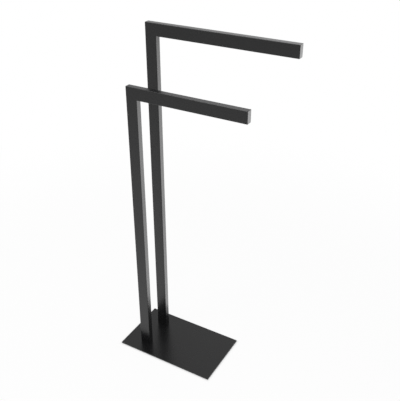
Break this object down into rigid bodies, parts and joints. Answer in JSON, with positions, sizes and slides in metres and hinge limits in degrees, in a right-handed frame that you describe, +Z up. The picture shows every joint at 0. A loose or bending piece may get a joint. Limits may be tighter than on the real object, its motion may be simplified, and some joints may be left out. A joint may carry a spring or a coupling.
{
  "type": "freestanding towel stand",
  "caption": "Freestanding towel stand: a short and a tall frame of flat rectangular tube, each an upright with a level arm reaching the same way, screwed to a thin rectangular base plate.",
  "frame": {"origin": "middle of the base plate's outline, on the floor: the middle of the anti-slip mat's underside", "axes": "+Z up; +X the way both arms reach, along the base plate's long side; the short frame is on the -Y side and the tall frame on the +Y side"},
  "size_m": [0.431, 0.175, 0.912],
  "materials": {
    "black_powder_coat": "satin",
    "black_rubber": "matt",
    "bare_steel": "machined",
    "zinc_plated_steel": "bright zinc plate"
  },
  "bodies": {
    "root": {"base_plate": "black_powder_coat", "anti_slip_mat": "black_rubber", "front_post": "black_powder_coat", "front_arm": "black_powder_coat", "front_corner_weld": "black_powder_coat", "front_end_plate": "black_powder_coat", "front_end_weld": "black_powder_coat", "front_foot_block": "bare_steel", "front_foot_weld": "bare_steel", "front_base_screws": "zinc_plated_steel", "rear_post": "black_powder_coat", "rear_arm": "black_powder_coat", "rear_corner_weld": "black_powder_coat", "rear_end_plate": "black_powder_coat", "rear_end_weld": "black_powder_coat", "rear_foot_block": "bare_steel", "rear_foot_weld": "bare_steel", "rear_base_screws": "zinc_plated_steel"}
  },
  "joints": []
}
